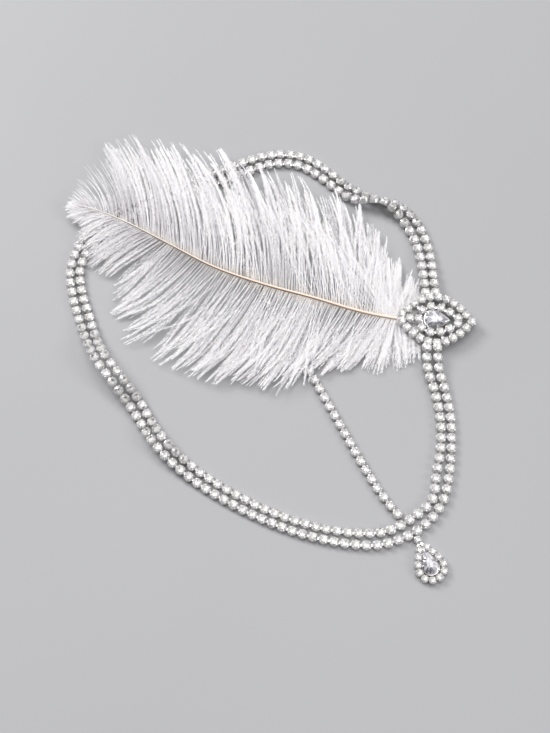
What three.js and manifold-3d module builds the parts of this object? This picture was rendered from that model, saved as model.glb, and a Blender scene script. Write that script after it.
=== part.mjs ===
// Rhinestone headband with an ostrich plume, lying on a table with its stones up.
// Lengths are in millimetres, +Z is up and +Y points away from the person looking at it.
// Places are measured from a point under the ornament until the last lines.
import * as THREE from 'three';
import { mergeVertices } from 'three/addons/utils/BufferGeometryUtils.js';
import Module from 'manifold-3d';

const wasm = await Module();
wasm.setup();

// Driving sizes
const GAP = 0.3; // clearance between pieces that touch
const ROUND_SIDES = 10; // sides of a round cup and its stone
const CUP_WALL = 0.1;
const CUP_HEIGHT = 2.4;
const CROWN = 0.8; // height of a stone above its cup
const TABLE = 0.58; // flat top of a stone as a share of its width
const STRAND_STONE = 3.7; // across a stone of the rows
const STRAND_PITCH = 4.6; // from one stone of a row to the next
const RING_STONE = 3.3; // across a stone of the ornament's rings
const RING_PITCH = 3.85;
const INNER_RING_STONES = 11;
const ORNAMENT_LENGTH = 32.6; // between the stones at the two points of the outer ring
const ORNAMENT_WIDTH = 21.8;
const ORNAMENT_TURN = -4; // degrees
const ORNAMENT_PLACE = [0, 0.7];
const INNER_RING_LENGTH = 19.4;
const INNER_RING_WIDTH = 12.4;
const INNER_RING_SHIFT = 2.2; // middle of the inner ring towards the free point
const CENTER_STONE_LENGTH = 10.4;
const CENTER_STONE_WIDTH = 7.2;
const CENTER_STONE_SHIFT = 0.7;
const DROP_STONE = 2.8; // across a stone of the drop's ring
const DROP_PITCH = 3.3;
const DROP_LENGTH = 15.3; // of the line through the stones of the drop's ring
const DROP_WIDTH = 11;
const DROP_STONE_LENGTH = 10;
const DROP_STONE_WIDTH = 6;
const DROP_PLACE = [-6.5, -107.7];
const DROP_TURN = 22; // degrees
const SETTING_HEIGHT = 2.2;
const SETTING_WALL = 0.5;
const SETTING_SIDES = 20;
const CLAW = 0.9; // across a claw at its foot
const CLAW_SIDES = 6;
const CLAW_PLACES = [0, 0.24, 0.4, 0.6, 0.76]; // shares of a turn from the point of the setting
const PEAR_FACETS = 14; // facets of a main stone's crown
const ACCENT_INSET = 1.25; // from the ornament's left point to the stone inside it, in pitches
const LINK_STEP = 0.95; // from the tip of the drop's ring to the stone that joins it, in stones
const BAR_WIDTH = 1.3; // links and hidden bars between the cups
const BAR_HEIGHT = 0.7;
const QUILL = 1.5; // across the quill where it leaves the clip
const QUILL_TIP = 0.4;
const CLIP_WALL = 0.35;
const CLIP_LENGTH = 8.5;
const VANE_REACH = 64; // longest barbs
const LOCK_SPACING = 8.4; // along the quill
const LOCK_THICKNESS = 1.1;
const LOCK_WIDTHS = [0.12, 0.4, 0.32, 0.05]; // half widths from root to end as shares of LOCK_SPACING
const UPPER_BOW = 0.62; // how early a lock turns outwards
const LOWER_BOW = 0.36;
const QUILL_SIDES = 6;
const QUILL_STEPS = 16;

// The two rows and the middle row: x, y, height of the underside, lean of the stones' faces in degrees
const OUTER_ROUTE = [
  [0.6, 13.9, 3], [0.1, 20, 2], [-0.3, 28, 0.9], [-2.4, 39.9, 0.05], [-7.3, 50.8, 0.2, 10],
  [-16, 58.6, 0.8, 45], [-22, 60.5, 1, 70], [-27.6, 62, 1, 65], [-37.9, 67.6, 0.5, 12],
  [-46.9, 75.5, 0.1], [-57.3, 82.2, 0],
  [-68.7, 84.4, 0], [-80.3, 82.3, 0], [-91.8, 78, 0], [-103.2, 73.8, 0], [-114.4, 69.9, 0], [-125.4, 65.6, 0],
  [-136.1, 60.4, 0], [-146.4, 53.8, 0], [-155.6, 45.6, 0], [-162.3, 35.8, 0], [-164.9, 24.6, 0],
  [-163.1, 12.6, 0], [-159.5, 1, 0.3], [-155.5, -9.7, 2.8], [-150.2, -19.9, 7], [-143.2, -29.2, 6.6],
  [-136.2, -38, 1.8], [-130, -47.5, 0.9], [-123.5, -57.3, 3.6], [-115.3, -65.6, 2], [-106, -72.8, 0.3],
  [-95.9, -79.3, 0], [-85.4, -85.1, 0], [-74.5, -90.2, 0], [-63.2, -94.5, 0], [-51.6, -97.7, 0],
  [-39.9, -99.8, 0], [-28, -100.2, 0], [-16.6, -97, 0], [-6.3, -90.4, 0], [0.6, -81.1, 0], [3.7, -69.5, 0],
  [5.1, -57.4, 0], [5.4, -45.5, 0], [3.8, -33.7, 0.2], [1, -22, 1.4], [0.4, -12.3, 3],
];
const INNER_ROUTE = [
  [-3.8, 13.8, 3], [-4.3, 20, 2], [-4.9, 28.1, 0.9], [-7.4, 39.8, 0], [-12.7, 50, 1.2, 10],
  [-17.4, 55.2, 3.7, 45], [-22, 58, 5, 70], [-27.6, 58.9, 4.9, 65], [-33.6, 60, 2.8, 35],
  [-39, 62.8, 1, 10], [-43.8, 66.8, 0.1], [-50.3, 72.4, 0],
  [-60.5, 78.6, 0], [-71.9, 79.6, 0], [-83.5, 76, 0], [-94.3, 71, 0], [-105.7, 67.5, 0], [-117.3, 64, 0],
  [-128.3, 59.3, 0], [-138.6, 53.1, 0], [-148.3, 45.9, 0], [-156.4, 37.2, 0], [-160.4, 26, 0],
  [-158.8, 14.3, 0.1], [-155, 2.7, 0.4], [-151.3, -8.2, 2.4], [-145.9, -18.2, 7], [-138.6, -27.2, 5.7],
  [-131.7, -36, 1.4], [-125.8, -45.7, 1.5], [-119.4, -55.4, 4.9], [-111, -63.3, 1.6], [-101.6, -70.4, 0.2],
  [-91.5, -76.7, 0], [-80.9, -82.4, 0], [-69.9, -87.3, 0], [-58.5, -91.2, 0], [-46.8, -93.9, 0],
  [-34.9, -95.2, 0], [-23.2, -94, 0], [-12.5, -88.2, 0], [-4.2, -80.7, 0], [-1.7, -68.7, 0], [0.5, -57.1, 0],
  [0.8, -45.1, 0], [-0.9, -33.2, 0.2], [-4.1, -21.7, 1.4], [-4.2, -12.2, 3],
];
const CENTER_ROUTE = [
  [-19.2, -86.8, 0], [-22, -83.4, 0], [-27.1, -76.2, 0], [-34, -64.4, 0], [-44.7, -44.4, 0], [-55.6, -23.9, 0],
  [-67, -4, 0], [-80, 19, 0], [-92.6, 41.4, 0], [-104.6, 62.9, 0],
];
const STRAND_STEPS = 76;

// The quill from the clip to its tip: x, y, height of its middle
const QUILL_ROUTE = [
  [-5.2, 0.4, 1.4], [-13.7, 1.9, 1.4], [-21, 3, 1.9], [-34, 5.4, 3.3], [-54, 10.8, 5.6], [-78.5, 17.2, 7.6],
  [-99.6, 24.8, 8.6], [-120, 35.9, 8.8], [-138.9, 46.6, 8], [-152.8, 53.1, 7], [-163.5, 56.8, 5.6],
];

// Locks of the vane on each side of the quill: place along the vane as a share, then how far the lock
// sweeps towards the tip and reaches out as shares of VANE_REACH, and the height of its end
const UPPER_LOCKS = [
  [0.03, 0.05, 0.4, 2], [0.07, 0.1, 0.58, 2.6], [0.13, 0.2, 0.78, 3.4], [0.21, 0.34, 0.87, 4.4],
  [0.29, 0.34, 0.91, 4.6], [0.37, 0.38, 0.9, 4.6], [0.45, 0.54, 0.98, 4.6], [0.54, 0.7, 0.82, 4.8],
  [0.62, 0.7, 0.7, 4.8], [0.7, 0.6, 0.6, 4.8], [0.79, 0.6, 0.5, 4.8], [0.87, 0.4, 0.34, 4.8],
  [0.93, 0.28, 0.18, 5], [0.98, 0.16, 0.06, 5],
];
const LOWER_LOCKS = [
  [0.03, 0.04, 0.4, 1.4], [0.08, 0.2, 0.48, 2.6], [0.17, 0.26, 0.62, 4.7], [0.25, 0.16, 0.74, 4.9],
  [0.31, 0.28, 0.72, 5.2], [0.38, 0.24, 0.76, 4.8], [0.45, 0.22, 0.75, 3.6], [0.54, 0.28, 0.72, 1.8],
  [0.62, 0.2, 0.72, 1.5], [0.7, 0.14, 0.56, 1.6], [0.78, 0.1, 0.42, 2.4], [0.85, 0.16, 0.34, 4.6],
  [0.9, 0.16, 0.2, 4.8], [0.96, 0.18, 0.07, 5],
];

// Sizes that follow
const CLIP_HEIGHT = QUILL + 2 * (GAP + CLIP_WALL);
const ORNAMENT_LIFT = CLIP_HEIGHT + GAP;
const STRAND_CUP = STRAND_STONE + 2 * CUP_WALL;
const STRAND_HEIGHT = CUP_HEIGHT + CROWN;
const GIRDLE = SETTING_HEIGHT - SETTING_WALL; // top of a main stone's girdle above its underside
const UP = new THREE.Vector3(0, 0, 1);

// Solid work

function closedSolid(geometry) {
  const bare = geometry.clone();
  bare.deleteAttribute('normal');
  bare.deleteAttribute('uv');
  const merged = mergeVertices(bare, 1e-4);
  const at = merged.attributes.position;
  const corners = [];
  let volume = 0;
  const [a, b, c] = [new THREE.Vector3(), new THREE.Vector3(), new THREE.Vector3()];
  for (let i = 0; i < merged.index.count; i += 3) {
    const [p, q, r] = [0, 1, 2].map((k) => merged.index.getX(i + k));
    if (p === q || q === r || r === p) continue;
    corners.push([p, q, r]);
    const face = b.fromBufferAttribute(at, q).cross(c.fromBufferAttribute(at, r));
    volume += a.fromBufferAttribute(at, p).dot(face);
  }
  // A profile that runs down its axis turns its faces inwards, so they are turned round.
  const outward = volume < 0 ? corners.map(([p, q, r]) => [p, r, q]) : corners;
  return new wasm.Manifold(new wasm.Mesh({
    numProp: 3,
    vertProperties: new Float32Array(at.array),
    triVerts: new Uint32Array(outward.flat()),
  }));
}

function fuse(geometries) {
  return geometries.map(closedSolid).reduce((all, next) => all.add(next));
}

function surfaceOf(solid) {
  const mesh = solid.getMesh();
  const geometry = new THREE.BufferGeometry();
  geometry.setAttribute('position', new THREE.BufferAttribute(mesh.vertProperties, 3));
  geometry.setIndex(new THREE.BufferAttribute(mesh.triVerts, 1));
  const flat = geometry.toNonIndexed();
  flat.computeVertexNormals();
  return flat;
}

// Turned shapes and outlines

function turned(profile, sides) {
  const points = profile.map(([radius, height]) => new THREE.Vector2(radius, height));
  return new THREE.LatheGeometry(points, sides).rotateX(Math.PI / 2);
}

function cupWithStone(stone) {
  const rim = stone / 2 + CUP_WALL;
  const table = TABLE * stone / 2;
  return turned([
    [0, 0],
    [rim, 0],
    [rim, CUP_HEIGHT],
    [table, CUP_HEIGHT + CROWN],
    [0, CUP_HEIGHT + CROWN],
  ], ROUND_SIDES);
}

// A drop outline round the origin whose point looks along +X
function dropPoint(angle, length, width) {
  const widest = 4 / (3 * Math.sqrt(3));
  const side = Math.sin(angle) * Math.abs(Math.sin(angle / 2)) / widest;
  return new THREE.Vector3(Math.cos(angle) * length / 2, side * width / 2, 0);
}

// A leaf outline with a point at each end of the X axis
function leafPoint(angle, length, width) {
  const side = Math.sin(angle) * Math.abs(Math.sin(angle));
  return new THREE.Vector3(Math.cos(angle) * length / 2, side * width / 2, 0);
}

function outlineCurve(outline, length, width) {
  const samples = 96;
  const points = Array.from({ length: samples }, (_, i) => outline(i / samples * 2 * Math.PI, length, width));
  return new THREE.CatmullRomCurve3(points, true);
}

// Places spread evenly round an outline, the first one a share of a step past the point
function spreadRound(curve, count, first) {
  return Array.from({ length: count }, (_, i) => curve.getPointAt((i + first) / count));
}

// A level bar between two places that stands on their height
function bar(from, to) {
  const run = new THREE.Vector3().subVectors(to, from);
  return new THREE.BoxGeometry(run.length(), BAR_WIDTH, BAR_HEIGHT)
    .translate(run.length() / 2, 0, BAR_HEIGHT / 2)
    .rotateZ(Math.atan2(run.y, run.x))
    .translate(from.x, from.y, from.z);
}

function linksRound(places) {
  return places.map((place, i) => bar(place, places[(i + 1) % places.length]));
}

function cupsAt(places, stone) {
  return places.map((place) => cupWithStone(stone).translate(place.x, place.y, place.z));
}

// A turned shape of radius 1 drawn out to the drop outline
function dropShaped(geometry, length, width) {
  const at = geometry.attributes.position;
  for (let i = 0; i < at.count; i += 1) {
    const edge = dropPoint(Math.atan2(at.getY(i), at.getX(i)), length, width);
    const share = Math.hypot(at.getX(i), at.getY(i));
    at.setXY(i, edge.x * share, edge.y * share);
  }
  return geometry;
}

// Chains

// A line through chosen points whose sections stay level, apart from the lean at each point.
// Where it lies on the table it has the height of the chain's own middle.
class Route extends THREE.CatmullRomCurve3 {
  constructor(rows, thickness) {
    super(rows.map(([x, y, underside]) => new THREE.Vector3(x, y, underside + thickness / 2)));
    this.leans = rows.map((row) => THREE.MathUtils.degToRad(row[3] ?? 0));
    this.lowest = thickness / 2;
  }

  // The curve may dip a little between two points on the table, so it is kept on it.
  getPoint(t, target) {
    const point = super.getPoint(t, target);
    point.z = Math.max(point.z, this.lowest);
    return point;
  }

  leanAt(share) {
    const place = this.getUtoTmapping(share) * (this.leans.length - 1);
    const before = Math.min(Math.floor(place), this.leans.length - 2);
    return THREE.MathUtils.lerp(this.leans[before], this.leans[before + 1], place - before);
  }

  frameAt(share) {
    const tangent = this.getTangentAt(share);
    const side = new THREE.Vector3().crossVectors(tangent, UP).normalize();
    const normal = new THREE.Vector3().crossVectors(side, tangent);
    normal.applyAxisAngle(tangent, this.leanAt(share));
    return { tangent, normal, binormal: new THREE.Vector3().crossVectors(tangent, normal) };
  }

  computeFrenetFrames(segments) {
    const frames = Array.from({ length: segments + 1 }, (_, i) => this.frameAt(i / segments));
    return {
      tangents: frames.map((frame) => frame.tangent),
      normals: frames.map((frame) => frame.normal),
      binormals: frames.map((frame) => frame.binormal),
    };
  }
}

// A row of stones as a plain tube with its height and width
function rowTube(rows) {
  const toFlats = 1 / Math.cos(Math.PI / ROUND_SIDES);
  const corners = Array.from({ length: ROUND_SIDES }, (_, i) => {
    const angle = (i + 0.5) / ROUND_SIDES * 2 * Math.PI;
    return new THREE.Vector2(Math.cos(angle) * toFlats * STRAND_HEIGHT / 2, Math.sin(angle) * STRAND_CUP / 2);
  });
  const extrudePath = new Route(rows, STRAND_HEIGHT);
  return new THREE.ExtrudeGeometry(new THREE.Shape(corners), { steps: STRAND_STEPS, extrudePath });
}

function stoneRow(rows) {
  const route = new Route(rows, 0);
  const pitches = Math.round(route.getLength() / STRAND_PITCH);
  const places = Array.from({ length: pitches + 1 }, (_, i) => route.getPointAt(i / pitches));
  const links = places.slice(1).map((place, i) => bar(places[i], place));
  return surfaceOf(fuse([...cupsAt(places, STRAND_STONE), ...links]));
}

// Main stones and their settings

// A pear-cut stone with a table and a ring of facets above and below its girdle
function pearStone(length, width) {
  const stone = turned([
    [0, 0],
    [0.5, 0],
    [1, GIRDLE - GAP],
    [1, GIRDLE],
    [TABLE, GIRDLE + CROWN],
    [0, GIRDLE + CROWN],
  ], PEAR_FACETS);
  return dropShaped(stone, length, width);
}

function pearPrism(length, width, bottom, top) {
  const profile = [[0, bottom], [1, bottom], [1, top], [0, top]];
  return closedSolid(dropShaped(turned(profile, SETTING_SIDES), length, width));
}

// The room that a pear-cut stone has in its setting, open at the top
function stoneRoom(length, width) {
  return pearPrism(length + 2 * GAP, width + 2 * GAP, SETTING_WALL, SETTING_HEIGHT + CROWN);
}

// The cup round a pear-cut stone, not yet hollow, with a claw at the point and two on each side
function pearSetting(length, width) {
  const outerLength = length + 2 * (GAP + SETTING_WALL);
  const outerWidth = width + 2 * (GAP + SETTING_WALL);
  const height = SETTING_HEIGHT + GAP;
  const claws = CLAW_PLACES.map((share) => {
    const place = dropPoint(share * 2 * Math.PI, outerLength, outerWidth);
    const claw = new THREE.CylinderGeometry(CLAW / 3, CLAW / 2, height, CLAW_SIDES).rotateX(Math.PI / 2);
    return claw.translate(place.x, place.y, height / 2);
  });
  return fuse(claws).add(pearPrism(outerLength, outerWidth, 0, SETTING_HEIGHT));
}

function ornamentSetting() {
  const rim = outlineCurve(leafPoint, ORNAMENT_LENGTH, ORNAMENT_WIDTH);
  const outer = spreadRound(rim, Math.round(rim.getLength() / RING_PITCH), 0);
  const innerRim = outlineCurve(dropPoint, INNER_RING_LENGTH, INNER_RING_WIDTH);
  const inner = spreadRound(innerRim, INNER_RING_STONES, 0.5);
  inner.forEach((place) => place.setX(place.x + INNER_RING_SHIFT));
  const accent = new THREE.Vector3(-ORNAMENT_LENGTH / 2 + RING_PITCH * ACCENT_INSET, 0, 0);
  const nearer = (from, a, b) => (from.distanceTo(b) < from.distanceTo(a) ? b : a);
  const nearest = (from, places) => places.reduce((a, b) => nearer(from, a, b));
  const middle = new THREE.Vector3(CENTER_STONE_SHIFT, 0, 0);
  const across = inner.filter((place) => Math.abs(place.y) > INNER_RING_WIDTH / 4);
  const rings = fuse([
    ...cupsAt([...outer, ...inner, accent], RING_STONE),
    ...linksRound(outer),
    ...linksRound(inner),
    ...across.map((place) => bar(place, nearest(place, outer))),
    ...across.map((place) => bar(place, middle)),
    bar(accent, nearest(accent, inner)),
    bar(accent, outer[Math.round(outer.length / 2)]),
  ]);
  const seat = pearSetting(CENTER_STONE_LENGTH, CENTER_STONE_WIDTH).translate(middle.toArray());
  const room = stoneRoom(CENTER_STONE_LENGTH, CENTER_STONE_WIDTH).translate(middle.toArray());
  return surfaceOf(rings.add(seat).subtract(room));
}

function pendantSetting() {
  const rim = outlineCurve(dropPoint, DROP_LENGTH, DROP_WIDTH);
  const ring = spreadRound(rim, Math.round(rim.getLength() / DROP_PITCH), 0.5);
  const link = new THREE.Vector3(DROP_LENGTH / 2 + DROP_STONE * LINK_STEP, 0, 0);
  const rings = fuse([
    ...cupsAt([...ring, link], DROP_STONE),
    ...linksRound(ring),
    bar(ring[0], link),
    bar(ring.at(-1), link),
  ]);
  const room = stoneRoom(DROP_STONE_LENGTH, DROP_STONE_WIDTH);
  return surfaceOf(rings.add(pearSetting(DROP_STONE_LENGTH, DROP_STONE_WIDTH)).subtract(room));
}

// Feather

// A cylinder of radius 1 and height 1 drawn along a curve, with its half width and half thickness at
// each share of the curve
function drawnAlong(geometry, curve, sizeAt) {
  const at = geometry.attributes.position;
  for (let i = 0; i < at.count; i += 1) {
    const share = THREE.MathUtils.clamp(at.getY(i) + 0.5, 0, 1);
    const point = curve.getPointAt(share);
    const tangent = curve.getTangentAt(share);
    const side = new THREE.Vector3().crossVectors(tangent, UP).normalize();
    const normal = new THREE.Vector3().crossVectors(side, tangent);
    const [width, thickness] = sizeAt(share);
    point.addScaledVector(side, at.getX(i) * width).addScaledVector(normal, at.getZ(i) * thickness);
    at.setXYZ(i, point.x, point.y, point.z);
  }
  return geometry;
}

function lockRow(table, share) {
  const after = Math.max(1, table.findIndex((row) => row[0] >= share));
  const [low, high] = [table[after - 1], table[after]];
  const mix = (share - low[0]) / (high[0] - low[0]);
  return low.map((value, i) => THREE.MathUtils.lerp(value, high[i], mix));
}

// One lock: it leaves the quill, bends over and ends in a point. bow says how early it turns outwards.
function lock(quill, bareShare, side, [share, sweep, reach, endHeight], bow) {
  const place = THREE.MathUtils.lerp(bareShare, 1, share);
  const root = quill.getPointAt(place);
  const along = quill.getTangentAt(place).setZ(0).normalize();
  const out = new THREE.Vector3().crossVectors(UP, along).multiplyScalar(side);
  const end = root.clone()
    .addScaledVector(along, sweep * VANE_REACH)
    .addScaledVector(out, reach * VANE_REACH)
    .setZ(endHeight);
  const bend = root.clone()
    .addScaledVector(along, sweep * VANE_REACH * (1 - bow))
    .addScaledVector(out, reach * VANE_REACH * bow)
    .setZ(THREE.MathUtils.lerp(root.z, endHeight, 0.35));
  const curve = new THREE.QuadraticBezierCurve3(root, bend, end);
  const steps = LOCK_WIDTHS.length - 1;
  return drawnAlong(new THREE.CylinderGeometry(1, 1, 1, 4, steps), curve, (part) => [
    LOCK_WIDTHS[Math.round(part * steps)] * LOCK_SPACING,
    THREE.MathUtils.lerp(LOCK_THICKNESS, LOCK_THICKNESS / 2, part) / 2,
  ]);
}

function feather(quill) {
  const bareShare = (CLIP_LENGTH + GAP) / quill.getLength();
  const rod = drawnAlong(new THREE.CylinderGeometry(1, 1, 1, QUILL_SIDES, QUILL_STEPS), quill, (share) => {
    const radius = THREE.MathUtils.lerp(QUILL, QUILL_TIP, share) / 2;
    return [radius, radius];
  });
  const vane = quill.getLength() * (1 - bareShare);
  const locksPerSide = Math.round(vane * (UPPER_LOCKS.at(-1)[0] - UPPER_LOCKS[0][0]) / LOCK_SPACING);
  const locks = [[UPPER_LOCKS, -1, UPPER_BOW], [LOWER_LOCKS, 1, LOWER_BOW]].flatMap(([table, side, bow]) => {
    const [first, last] = [table[0][0], table.at(-1)[0]];
    return Array.from({ length: locksPerSide + 1 }, (_, i) => {
      const share = THREE.MathUtils.lerp(first, last, i / locksPerSide);
      return lock(quill, bareShare, side, lockRow(table, share), bow);
    });
  });
  const [share, sweep, , endHeight] = LOWER_LOCKS.at(-1);
  const tuft = lock(quill, bareShare, 1, [share, sweep, 0, endHeight], LOWER_BOW);
  return surfaceOf(fuse([rod, ...locks, tuft]));
}

// A square sleeve with chamfered corners and a round way through for the quill
function clip() {
  const half = CLIP_HEIGHT / 2;
  const chamfer = CLIP_WALL;
  const corners = [
    [-half, chamfer - half], [chamfer - half, -half], [half - chamfer, -half], [half, chamfer - half],
    [half, half - chamfer], [half - chamfer, half], [chamfer - half, half], [-half, half - chamfer],
  ];
  const section = new THREE.Shape(corners.map(([x, y]) => new THREE.Vector2(x, y)));
  const bore = Array.from({ length: ROUND_SIDES }, (_, i) => {
    const angle = -i / ROUND_SIDES * 2 * Math.PI;
    return new THREE.Vector2(Math.cos(angle), Math.sin(angle)).multiplyScalar(QUILL / 2 + GAP);
  });
  section.holes.push(new THREE.Path(bore));
  return new THREE.ExtrudeGeometry(section, { depth: CLIP_LENGTH, bevelEnabled: false }).rotateX(Math.PI / 2);
}

// Assembly

const metal = { color: 0xc9c9cc, roughness: 0.25, metalness: 1 };
const crystal = { color: 0xf1f1f5, roughness: 0.08, metalness: 0 };
const plume = { color: 0xeeebf0, roughness: 0.9, metalness: 0 };

function piece(name, geometry, look) {
  const mesh = new THREE.Mesh(geometry, new THREE.MeshStandardMaterial(look));
  mesh.name = name;
  return mesh;
}

function ornament() {
  const group = new THREE.Group();
  const stone = piece('center_stone', pearStone(CENTER_STONE_LENGTH, CENTER_STONE_WIDTH), crystal);
  stone.position.set(CENTER_STONE_SHIFT, 0, SETTING_WALL + GAP);
  group.add(piece('ornament_setting', ornamentSetting(), metal), stone);
  group.position.set(...ORNAMENT_PLACE, ORNAMENT_LIFT);
  group.rotation.z = THREE.MathUtils.degToRad(ORNAMENT_TURN);
  return group;
}

function pendant() {
  const group = new THREE.Group();
  const stone = piece('pendant_stone', pearStone(DROP_STONE_LENGTH, DROP_STONE_WIDTH), crystal);
  stone.position.z = SETTING_WALL + GAP;
  group.add(piece('pendant_setting', pendantSetting(), metal), stone);
  group.position.set(...DROP_PLACE, 0);
  group.rotation.z = THREE.MathUtils.degToRad(90 + DROP_TURN);
  return group;
}

function plumeInClip() {
  const group = new THREE.Group();
  const quill = new THREE.CatmullRomCurve3(QUILL_ROUTE.map((point) => new THREE.Vector3(...point)));
  const holder = piece('quill_clip', clip(), metal);
  const [start, next] = QUILL_ROUTE;
  holder.position.set(start[0], start[1], CLIP_HEIGHT / 2);
  holder.rotation.z = Math.atan2(next[1] - start[1], next[0] - start[0]) + Math.PI / 2;
  group.add(holder, piece('feather', feather(quill), plume));
  return group;
}

const headband = new THREE.Group();
headband.add(
  piece('strand_outer', rowTube(OUTER_ROUTE), metal),
  piece('strand_inner', rowTube(INNER_ROUTE), metal),
  piece('center_strand', stoneRow(CENTER_ROUTE), metal),
  ornament(),
  pendant(),
  plumeInClip(),
);

// The headband's origin goes to the middle of the ground that it covers.
const extent = new THREE.Box3().setFromObject(headband, true);
const middle = extent.getCenter(new THREE.Vector3());
headband.position.set(-middle.x, -middle.y, -extent.min.z);

export default headband;
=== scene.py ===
import math

import bpy
import numpy as np
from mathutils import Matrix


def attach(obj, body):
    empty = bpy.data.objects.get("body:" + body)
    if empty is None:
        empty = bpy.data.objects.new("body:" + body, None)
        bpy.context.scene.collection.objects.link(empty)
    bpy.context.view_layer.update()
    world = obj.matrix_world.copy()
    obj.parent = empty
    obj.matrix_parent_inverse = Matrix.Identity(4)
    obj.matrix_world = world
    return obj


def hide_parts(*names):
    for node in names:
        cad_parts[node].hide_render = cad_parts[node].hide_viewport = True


# Lengths are in millimetres until a mesh is made. Places are measured from a point under the
# ornament, as in the part's source, and SHIFT takes them to the row's frame.

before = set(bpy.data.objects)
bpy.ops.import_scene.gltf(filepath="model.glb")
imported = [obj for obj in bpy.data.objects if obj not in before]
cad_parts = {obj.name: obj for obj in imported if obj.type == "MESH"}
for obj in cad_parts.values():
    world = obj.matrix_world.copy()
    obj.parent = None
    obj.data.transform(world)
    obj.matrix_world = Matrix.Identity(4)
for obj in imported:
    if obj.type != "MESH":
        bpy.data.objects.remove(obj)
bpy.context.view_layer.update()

MM = 0.001
SHIFT = np.array([75.971, 12.986, 0.0037])
UP = np.array([0.0, 0.0, 1.0])
stone_draw = np.random.default_rng(29)

# Sizes named as in the part's source, where the stones are up to 0.5 mm narrower
GAP = 0.3  # clearance between pieces that touch
CUP_HEIGHT = 2.4
CUP_WALL = 0.1
CROWN = 0.8  # height of a stone above its cup
STRAND_STONE = 4.1  # across a stone of the rows
STRAND_PITCH = 4.6  # from one stone of a row to the next
RING_STONE = 3.75  # across a stone of the ornament's rings
RING_PITCH = 3.85
INNER_RING_STONES = 11
ORNAMENT_LENGTH = 32.6  # between the stones at the two points of the outer ring
ORNAMENT_WIDTH = 21.8
ORNAMENT_TURN = -4  # degrees
ORNAMENT_PLACE = (0, 0.7)
ORNAMENT_LIFT = 3.1
INNER_RING_LENGTH = 19.4
INNER_RING_WIDTH = 12.4
INNER_RING_SHIFT = 2.2  # middle of the inner ring towards the free point
CENTER_STONE_LENGTH = 10.4
CENTER_STONE_WIDTH = 7.2
CENTER_STONE_SHIFT = 0.7
ACCENT_INSET = 1.25  # from the ornament's left point to the stone inside it, in pitches
DROP_STONE = 3.25  # across a stone of the drop's ring
DROP_PITCH = 3.3
DROP_LENGTH = 15.3  # of the line through the stones of the drop's ring
DROP_WIDTH = 11
DROP_STONE_LENGTH = 10
DROP_STONE_WIDTH = 6
DROP_PLACE = (-6.5, -107.7)
DROP_TURN = 112  # degrees
SETTING_HEIGHT = 2.2
SETTING_WALL = 0.5
QUILL = 1.5  # across the quill where it leaves the clip
QUILL_TIP = 0.4
BARE_QUILL = 8.8  # from the quill's end in the clip to its first barbs

# Sizes that only the scene has: how much wider the pear-cut stones are than the solids, and the
# place of the drop's link stone, beyond the point of its ring and beside it, 0.6 mm from the solid's
PEAR_OVERSIZE = 0.5
DROP_LINK = (3.1, 0.45)

# The routes of the rows: x, y, height of the underside, lean of the stones' faces in degrees
OUTER_ROUTE = [
    (0.6, 13.9, 3), (0.1, 20, 2), (-0.3, 28, 0.9), (-2.4, 39.9, 0.05), (-7.3, 50.8, 0.2, 10),
    (-16, 58.6, 0.8, 45), (-22, 60.5, 1, 70), (-27.6, 62, 1, 65), (-37.9, 67.6, 0.5, 12),
    (-46.9, 75.5, 0.1), (-57.3, 82.2, 0), (-68.7, 84.4, 0), (-80.3, 82.3, 0), (-91.8, 78, 0),
    (-103.2, 73.8, 0), (-114.4, 69.9, 0), (-125.4, 65.6, 0), (-136.1, 60.4, 0), (-146.4, 53.8, 0),
    (-155.6, 45.6, 0), (-162.3, 35.8, 0), (-164.9, 24.6, 0), (-163.1, 12.6, 0), (-159.5, 1, 0.3),
    (-155.5, -9.7, 2.8), (-150.2, -19.9, 7), (-143.2, -29.2, 6.6), (-136.2, -38, 1.8),
    (-130, -47.5, 0.9), (-123.5, -57.3, 3.6), (-115.3, -65.6, 2), (-106, -72.8, 0.3),
    (-95.9, -79.3, 0), (-85.4, -85.1, 0), (-74.5, -90.2, 0), (-63.2, -94.5, 0), (-51.6, -97.7, 0),
    (-39.9, -99.8, 0), (-28, -100.2, 0), (-16.6, -97, 0), (-6.3, -90.4, 0), (0.6, -81.1, 0),
    (3.7, -69.5, 0), (5.1, -57.4, 0), (5.4, -45.5, 0), (3.8, -33.7, 0.2), (1, -22, 1.4),
    (0.4, -12.3, 3),
]
INNER_ROUTE = [
    (-3.8, 13.8, 3), (-4.3, 20, 2), (-4.9, 28.1, 0.9), (-7.4, 39.8, 0), (-12.7, 50, 1.2, 10),
    (-17.4, 55.2, 3.7, 45), (-22, 58, 5, 70), (-27.6, 58.9, 4.9, 65), (-33.6, 60, 2.8, 35),
    (-39, 62.8, 1, 10), (-43.8, 66.8, 0.1), (-50.3, 72.4, 0), (-60.5, 78.6, 0), (-71.9, 79.6, 0),
    (-83.5, 76, 0), (-94.3, 71, 0), (-105.7, 67.5, 0), (-117.3, 64, 0), (-128.3, 59.3, 0),
    (-138.6, 53.1, 0), (-148.3, 45.9, 0), (-156.4, 37.2, 0), (-160.4, 26, 0), (-158.8, 14.3, 0.1),
    (-155, 2.7, 0.4), (-151.3, -8.2, 2.4), (-145.9, -18.2, 7), (-138.6, -27.2, 5.7),
    (-131.7, -36, 1.4), (-125.8, -45.7, 1.5), (-119.4, -55.4, 4.9), (-111, -63.3, 1.6),
    (-101.6, -70.4, 0.2), (-91.5, -76.7, 0), (-80.9, -82.4, 0), (-69.9, -87.3, 0),
    (-58.5, -91.2, 0), (-46.8, -93.9, 0), (-34.9, -95.2, 0), (-23.2, -94, 0), (-12.5, -88.2, 0),
    (-4.2, -80.7, 0), (-1.7, -68.7, 0), (0.5, -57.1, 0), (0.8, -45.1, 0), (-0.9, -33.2, 0.2),
    (-4.1, -21.7, 1.4), (-4.2, -12.2, 3),
]
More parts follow.
